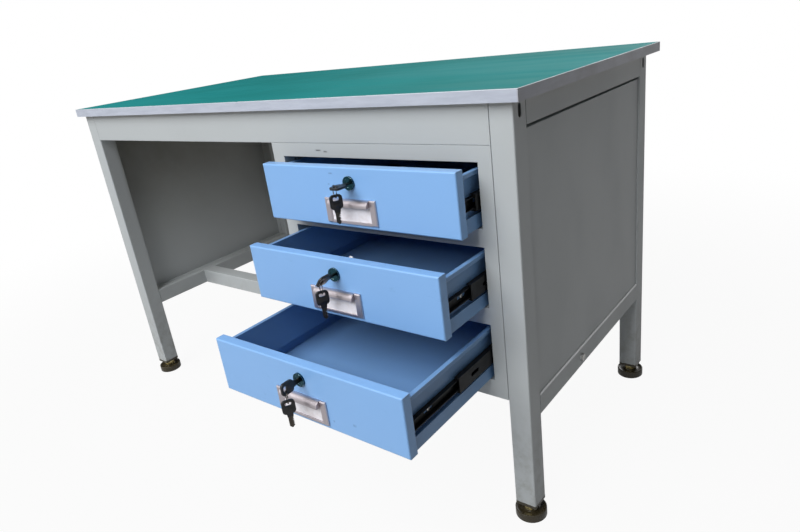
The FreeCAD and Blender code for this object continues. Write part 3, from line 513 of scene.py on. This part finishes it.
def copies(mesh, places):
    """Repeat a mesh at each matrix and use it up."""
    repeated = [placed(mesh.copy(), place) for place in places]
    mesh.free()
    return join(repeated)


def finish_piece(name, mesh, finish, body, replaced=()):
    """Make a mesh an object of its own that rides on a body, and may stand for a node."""
    bmesh.ops.recalc_face_normals(mesh, faces=mesh.faces)
    data = bpy.data.meshes.new(name)
    mesh.to_mesh(data)
    mesh.free()
    data.materials.append(finish)
    data.shade_smooth()
    data.set_sharp_from_angle(angle=math.radians(SMOOTH_ANGLE))
    piece = bpy.data.objects.new(name, data)
    bpy.context.collection.objects.link(piece)
    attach(piece, body)
    if replaced:
        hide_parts(*replaced)


def box_middle(node):
    low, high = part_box(node)
    return (Vector(low) + Vector(high)) / 2


def facing(point, direction):
    """Matrix that stands something at a point with its Z towards a direction."""
    turn = Vector((0, 0, 1)).rotation_difference(Vector(direction)).to_matrix().to_4x4()
    return Matrix.Translation(point) @ turn


# ---------------------------------------------------------------- keys and rings
# Key frame: Y along the lock's axis from the drawer's face, the flat of the key in YZ.
BOW_END, BOW_START, NECK_START, KEY_TIP = -38 * MM, -14 * MM, -9 * MM, 11 * MM
HALF_BOW, BOW_THICKNESS, BOW_CORNER = 10.5 * MM, 4 * MM, 6 * MM
BOW_PANEL, BOW_PANEL_Y = (0.6 * MM, 9 * MM, 14 * MM), -21 * MM
NECK_THICKNESS, NECK_WIDTH, NECK_TAPER = 3.8 * MM, 10.8 * MM, 0.86
RING_HOLE, RING_HOLE_CORNER = ((-34 * MM, -5 * MM), (-28 * MM, 5 * MM)), 2 * MM
HALF_BLADE, BLADE_THICKNESS, BLADE_STEPS = 4 * MM, 2 * MM, 52
GROOVE_TOP, GROOVE_FACES = -0.2 * MM, (-1.7 * MM, -0.1 * MM)
GROOVE_BANK, GROOVE_DEPTH = 0.15 * MM, 0.4 * MM
# Cuts in the blade: their depths as shares of its width, the flat at the foot of each, and how
# much of the pitch a cut with its two slopes takes.
BITTING_START = 3 * MM
KEY_CUTS = (0.22, 0.34, 0.16, 0.28, 0.2)
CUT_PITCH = (KEY_TIP - HALF_BLADE - NECK_START - BITTING_START) / len(KEY_CUTS)
HALF_LAND, HALF_CUT = 0.5 * MM, 0.45 * CUT_PITCH
RING_RADIUS, RING_TURNS, RING_STEPS = 10.1 * MM, 1.94, 96
WIRE_WIDTH, WIRE_DEPTH = 1.15 * MM, 0.8 * MM
LOCK_FACE_HEIGHT = 3 * MM
# The cam's place on the key frame's Y and its reach. It covers the plain one by a skin.
CAM_START, CAM_THICKNESS, CAM_REACH, HALF_CAM = 28.4 * MM, 2 * MM, 26 * MM, 5 * MM
CAM_SKIN = 0.15 * MM


def rounded_outline(mesh, low, high, corner):
    """Edges of a rectangle in the key's plane with round corners."""
    made = bmesh.ops.create_grid(mesh, x_segments=1, y_segments=1, size=0.5)["verts"]
    (low_y, low_z), (high_y, high_z) = low, high
    for vert in made:
        y = low_y if vert.co.x < 0 else high_y
        vert.co = Vector((0, y, low_z if vert.co.y < 0 else high_z))
    bmesh.ops.bevel(mesh, geom=made, offset=corner, segments=6, profile=0.5, affect="VERTICES",
                    material=-1)


def key_bow():
    """Moulded grip: a rounded plate with a slot for the ring, raised panels and a tapering neck."""
    plate = bmesh.new()
    rounded_outline(plate, (BOW_END, -HALF_BOW), (BOW_START, HALF_BOW), BOW_CORNER)
    rounded_outline(plate, *RING_HOLE, RING_HOLE_CORNER)
    bmesh.ops.delete(plate, geom=plate.faces[:], context="FACES_ONLY")
    bmesh.ops.bridge_loops(plate, edges=plate.edges[:])
    lifted = bmesh.ops.extrude_face_region(plate, geom=plate.faces[:])["geom"]
    bmesh.ops.translate(plate, vec=(BOW_THICKNESS, 0, 0),
                        verts=[vert for vert in lifted if isinstance(vert, bmesh.types.BMVert)])
    bmesh.ops.translate(plate, vec=(-BOW_THICKNESS / 2, 0, 0), verts=plate.verts)
    soften(plate, 0.7 * MM, 3, 60)

    panels = bmesh.new()
    for side in (-1, 1):
        block(panels, (side * BOW_THICKNESS / 2, BOW_PANEL_Y, 0), BOW_PANEL)
    soften(panels, 0.25 * MM, 2)

    neck = bmesh.new()
    block(neck, (0, (BOW_START + NECK_START) / 2 - MM, 0),
          (NECK_THICKNESS, NECK_START - BOW_START + 2 * MM, NECK_WIDTH))
    for vert in neck.verts:
        if vert.co.y > BOW_START:
            vert.co.z *= NECK_TAPER
    soften(neck, 0.6 * MM, 3)
    return join([plate, panels, neck])


def blade_edge(y):
    """Height of the cut edge of the blade at a distance along it."""
    height = HALF_BLADE
    for number, share in enumerate(KEY_CUTS):
        middle = NECK_START + BITTING_START + CUT_PITCH * (number + 0.5)
        away = max(abs(y - middle) - HALF_LAND, 0)
        depth = 2 * HALF_BLADE * share
        height = min(height, HALF_BLADE - depth + away * depth / (HALF_CUT - HALF_LAND))
    return min(height, KEY_TIP - y)


def key_blade():
    """Steel blade with its row of cuts, a milled groove on each side and a pointed tip."""
    blade = bmesh.new()
    rows = 3
    bmesh.ops.create_grid(blade, x_segments=BLADE_STEPS, y_segments=rows, size=0.5)
    start, length = NECK_START - 3 * MM, KEY_TIP - NECK_START + 2.4 * MM
    for vert in blade.verts:
        y = start + (vert.co.x + 0.5) * length
        bottom = -min(HALF_BLADE, KEY_TIP - y)
        levels = (bottom, bottom * 0.4, GROOVE_TOP, blade_edge(y))
        vert.co = Vector((0, y, levels[round((vert.co.y + 0.5) * rows)]))
    bmesh.ops.recalc_face_normals(blade, faces=blade.faces)
    bmesh.ops.solidify(blade, geom=blade.faces[:], thickness=BLADE_THICKNESS)
    across = [vert.co.x for vert in blade.verts]
    bmesh.ops.translate(blade, vec=(-(min(across) + max(across)) / 2, 0, 0), verts=blade.verts)
    for side in (-1, 1):
        groove = [face for face in blade.faces if face.normal.x * side > 0.9
                  and GROOVE_FACES[0] < face.calc_center_median().z < GROOVE_FACES[1]
                  and face.calc_center_median().y < KEY_TIP - HALF_BLADE]
        bmesh.ops.inset_region(blade, faces=groove, thickness=GROOVE_BANK, depth=-GROOVE_DEPTH,
                               use_even_offset=True)
    return blade


def split_ring():
    """Two turns of flattened wire lying side by side about Y."""
    ring = bmesh.new()
    bmesh.ops.create_circle(ring, cap_ends=True, segments=8, radius=0.5)
    for vert in ring.verts:
        x, y = RING_RADIUS + vert.co.x * WIRE_WIDTH, (vert.co.y - 0.5) * WIRE_DEPTH
        vert.co = Vector((x, y, 0))
    bmesh.ops.spin(ring, geom=ring.verts[:] + ring.edges[:] + ring.faces[:], cent=(0, 0, 0),
                   axis=(0, 1, 0), dvec=(0, 2 * WIRE_DEPTH / RING_STEPS, 0),
                   angle=math.tau * RING_TURNS, steps=RING_STEPS)
    return ring


def lock_place(name):
    """Matrix from the key's frame into the lock as it is turned."""
    middle, front = box_middle(name + "_lock_housing"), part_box(name + "_lock_housing")[0][1]
    turn = Matrix.Rotation(math.radians(LOCK_TURNS[name]), 4, (0, -1, 0))
    return Matrix.Translation((middle.x, front + LOCK_FACE_HEIGHT, middle.z)) @ turn


def make_keys(name, finishes):
    """Key in the lock, its ring and the spare key, in the places of the plain ones."""
    ring_turn = Matrix.Rotation(math.radians(-RING_TURN), 4, "Z")
    ring_place = Matrix.Translation(box_middle(name + "_key_ring")) @ ring_turn
    spare = box_middle(name + "_spare_key")
    spare.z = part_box(name + "_spare_key")[0][2] + KEY_TIP
    hung = Matrix.Translation(spare) @ ring_turn @ Matrix.Rotation(math.radians(-90), 4, "X")
    for label, place, body, node in (("key", lock_place(name), "_lock", "_key"),
                                     ("spare", hung, "_spare", "_spare_key")):
        piece = "%s_%s" % (name, label)
        finish_piece(piece + "_bow", placed(key_bow(), place), finishes["key_plastic"],
                     name + body, [name + node])
        finish_piece(piece + "_blade", placed(key_blade(), place), finishes["key_steel"],
                     name + body, [name + node])
    finish_piece(name + "_split_ring", placed(split_ring(), ring_place), finishes["key_steel"],
                 name + "_ring", [name + "_key_ring"])


def make_cam(name, finishes):
    """Steel cam at the back of the lock, painted near-white as a painted highlight, with its hexagon
    screw, over the plain one.
    """
    plate = bmesh.new()
    middle = (HALF_CAM - CAM_REACH) / 2
    block(plate, (0, CAM_START + CAM_THICKNESS / 2, middle),
          (2 * HALF_CAM + 2 * CAM_SKIN, CAM_THICKNESS + 0.2 * MM, HALF_CAM + CAM_REACH + 2 * CAM_SKIN))
    tip = [edge for edge in plate.edges if all(vert.co.z < middle for vert in edge.verts)
           and abs(edge.verts[0].co.y - edge.verts[1].co.y) > MM]
    bmesh.ops.bevel(plate, geom=tip, offset=HALF_CAM, segments=8, profile=0.5, affect="EDGES",
                    material=-1)
    soften(plate, 0.3 * MM, 2)
    screw = hexagon(4.75 * MM, 2.2 * MM, facing((0, CAM_START + 3 * MM, 0), (0, 1, 0)), 0.4 * MM)
    finish_piece(name + "_cam", placed(join([plate, screw]), lock_place(name)),
                 finishes["cam_steel_glint"], name + "_lock")


# ---------------------------------------------------------------- screws and feet
SCREW_RADIUS, SCREW_HEIGHT = 3.6 * MM, 1.9 * MM
# Holes of a drawer's runner: the first from the front, their pitch, which of them hold a screw,
# and how deep behind the runner's outer face its screws stand.
FIRST_HOLE, HOLE_PITCH, SCREWED_HOLES = 45 * MM, 118 * MM, (0, 2, 3)
SCREW_SEAT = 7.5 * MM
# Radius and level of the points round a foot's dish and stem, in millimetres.
DISH = ((0, 0), (26.4, 0), (27.3, 0.9), (27.4, 8), (27.4, 14.6), (27, 15.5), (26, 15.9), (24.9, 15.5),
        (23.6, 14), (21, 13.4), (15.4, 13.4), (14.4, 14), (13.8, 15.9), (0, 15.9))
STEM = ((0, 25), (4.3, 25), (4.3, 61), (3.4, 62), (0, 62))
THREAD_RIDGE = ((4.2, 25.8), (5, 26.5), (4.2, 27.2))
THREAD_PITCH, THREAD_TURNS, THREAD_STEPS = 1.5 * MM, 22, 20
COLLAR_RADIUS, COLLAR_HEIGHT, COLLAR_MIDDLE = 12.7 * MM, 10 * MM, 20.9 * MM


def in_metres(profile):
    return [(radius * MM, level * MM) for radius, level in profile]


def cross_screw(radius, height):
    """Pan head standing on the XY plane, and the cross recess to lie on it."""
    head = turned([(0, 0), (radius, 0), (radius, height * 0.35), (radius * 0.9, height * 0.75),
                   (radius * 0.62, height), (0, height)], 20)
    arm, half = radius * 0.5, radius * 0.11
    quarter, corners = [(arm, half), (half, half), (half, arm)], []
    for _ in range(4):
        corners += quarter
        quarter = [(-y, x) for x, y in quarter]
    recess = bmesh.new()
    bmesh.ops.create_circle(recess, cap_ends=True, segments=12, radius=1)
    order = sorted(recess.verts, key=lambda vert: math.atan2(vert.co.y, vert.co.x) % math.tau)
    for vert, (x, y) in zip(order, corners):
        vert.co = Vector((x, y, height + 0.02 * MM))
    return head, recess


def make_runner_screws(name, finishes):
    """Screws that hold the drawer to its two runner members."""
    low, high = (Vector(corner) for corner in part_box(name + "_drawer_runners"))
    level = (low.z + high.z) / 2
    places = []
    for hole in SCREWED_HOLES:
        y = low.y + FIRST_HOLE + HOLE_PITCH * hole
        places.append(facing((high.x - SCREW_SEAT, y, level), (1, 0, 0)))
        places.append(facing((low.x + SCREW_SEAT, y, level), (-1, 0, 0)))
    for suffix, mesh, finish in zip(("_drawer_runner_screws", "_drawer_runner_screw_slots"),
                                    cross_screw(SCREW_RADIUS, SCREW_HEIGHT),
                                    (finishes["zinc"], finishes["black_plastic"])):
        finish_piece(name + suffix, copies(mesh, places), finish, name + "_drawer")


def make_feet(place, finishes):
    """Levelling foot: a round dish with a thick rim, a hexagon and a threaded stem."""
    middle = box_middle(place + "_foot")
    here = Matrix.Translation((middle.x, middle.y, 0))
    body, node = place + "_foot_body", [place + "_foot"]
    finish_piece(place + "_foot_dish", placed(turned(in_metres(DISH), 72), here),
                 finishes["black_plastic"], body, node)

    flat_front = Matrix.Rotation(math.radians(30), 4, "Z")
    collar = hexagon(COLLAR_RADIUS, COLLAR_HEIGHT,
                     Matrix.Translation((0, 0, COLLAR_MIDDLE)) @ flat_front, 0.7 * MM)
    thread = bmesh.new()
    thread.faces.new([thread.verts.new((x, 0, z)) for x, z in in_metres(THREAD_RIDGE)])
    bmesh.ops.spin(thread, geom=thread.verts[:] + thread.edges[:] + thread.faces[:],
                   cent=(0, 0, 0), axis=(0, 0, 1), dvec=(0, 0, THREAD_PITCH / THREAD_STEPS),
                   angle=math.tau * THREAD_TURNS, steps=THREAD_STEPS * THREAD_TURNS)
    stem = placed(join([collar, turned(in_metres(STEM), 24), thread]), here)
    finish_piece(place + "_foot_stem", stem, finishes["yellow_zinc_glint"], body, node)


# ---------------------------------------------------------------- studio
# Name, place, side of the square and power in watts of each lamp, and where they all point.
LAMPS = (("front_lamp", (-0.35, -3.5, 4.0), 3.8, 315),
         ("top_lamp", (0.5, 0.2, 3.0), 2.2, 8),
         ("back_lamp", (0.6, 4.8, 1.7), 2.0, 36))
LAMP_TARGET = Vector((0.1, 0, 0.4))
WHITE = (1, 1, 1, 1)
# The room's light on dull surfaces, and what shiny ones mirror: all round, in front, behind.
BRIGHT_SIDE = (-0.3, -0.8, 0.52)
ROOM_LIGHT, FRONT_LIGHT = 0.022, 0.2
ROOM_SHINE, FRONT_SHINE, BACK_SHINE = 0.02, 0.8, 0.75
# The floor: its paint, how white it is near by and far off, and in mirrors.
FLOOR_HALF_SIZE, FLOOR_DROP, FLOOR_GREY = 9, 0.2 * MM, 0.36
NEAR_WHITE, FAR_WHITE, FADE, MIRRORED_WHITE = 0.94, 0.06, (0.9, 2.4), 0.35


def light_world():
    world = bpy.data.worlds.new("studio")
    bpy.context.scene.world = world
    room = Tree(world)
    direction = room.node("ShaderNodeTexCoord", output="Generated")
    facing_front = room.dot(direction, BRIGHT_SIDE)
    facing_back = room.split(direction)[1]
    mirrored = room.ray("Glossy")
    white = room.ray("Camera") + room.ray("Transmission")
    soft = ROOM_LIGHT + facing_front.rise(0, 0.95) * FRONT_LIGHT
    shine = ROOM_SHINE + facing_front.rise(0.3, 0.8) * FRONT_SHINE
    shine = shine + facing_back.rise(0.6, 0.98) * BACK_SHINE
    strength = soft * (1 - white - mirrored) + shine * mirrored + white
    room.feed(room.nodes["Background"], {"Color": WHITE, "Strength": strength})


def hang_lamps():
    for name, place, size, power in LAMPS:
        data = bpy.data.lights.new(name, "AREA")
        data.shape = "SQUARE"
        data.size = size
        data.energy = power
        lamp = bpy.data.objects.new(name, data)
        lamp.matrix_world = facing(place, Vector(place) - LAMP_TARGET)
        bpy.context.collection.objects.link(lamp)


def lay_floor():
    mesh = bmesh.new()
    bmesh.ops.create_grid(mesh, x_segments=1, y_segments=1, size=FLOOR_HALF_SIZE)
    data = bpy.data.meshes.new("floor")
    mesh.to_mesh(data)
    mesh.free()
    floor = bpy.data.objects.new("floor", data)
    floor.location.z = -FLOOR_DROP
    bpy.context.collection.objects.link(floor)

    pale = Finish("floor_paint")
    pale.surface(Base_Color=(FLOOR_GREY, FLOOR_GREY, FLOOR_GREY, 1), Roughness=0.9)
    glow = pale.node("ShaderNodeEmission", values={"Color": WHITE, "Strength": 1.0})
    away = pale.node("ShaderNodeVectorMath", {"operation": "LENGTH"}, {0: pale.place}, "Value")
    share = pale.ray("Camera") * (NEAR_WHITE + away.rise(*FADE) * FAR_WHITE)
    share = share + pale.ray("Glossy") * MIRRORED_WHITE
    dull = Field(pale, pale.shader.outputs[0])
    mixed = pale.node("ShaderNodeMixShader", values={0: share, 1: dull, 2: glow})
    pale.feed(pale.nodes["Material Output"], {"Surface": mixed})
    data.materials.append(pale.material)


def make_studio():
    """White room with a large soft lamp high in front, weak ones above and behind, a pale floor."""
    light_world()
    hang_lamps()
    lay_floor()
    bpy.context.scene.view_settings.view_transform = "Standard"


# ---------------------------------------------------------------- the whole scene
place_camera()
make_studio()
finishes = make_finishes()
dress_model(finishes)
for drawer in DRAWERS:
    make_keys(drawer, finishes)
    make_cam(drawer, finishes)
    make_runner_screws(drawer, finishes)
for leg in LEGS:
    make_feet(leg, finishes)
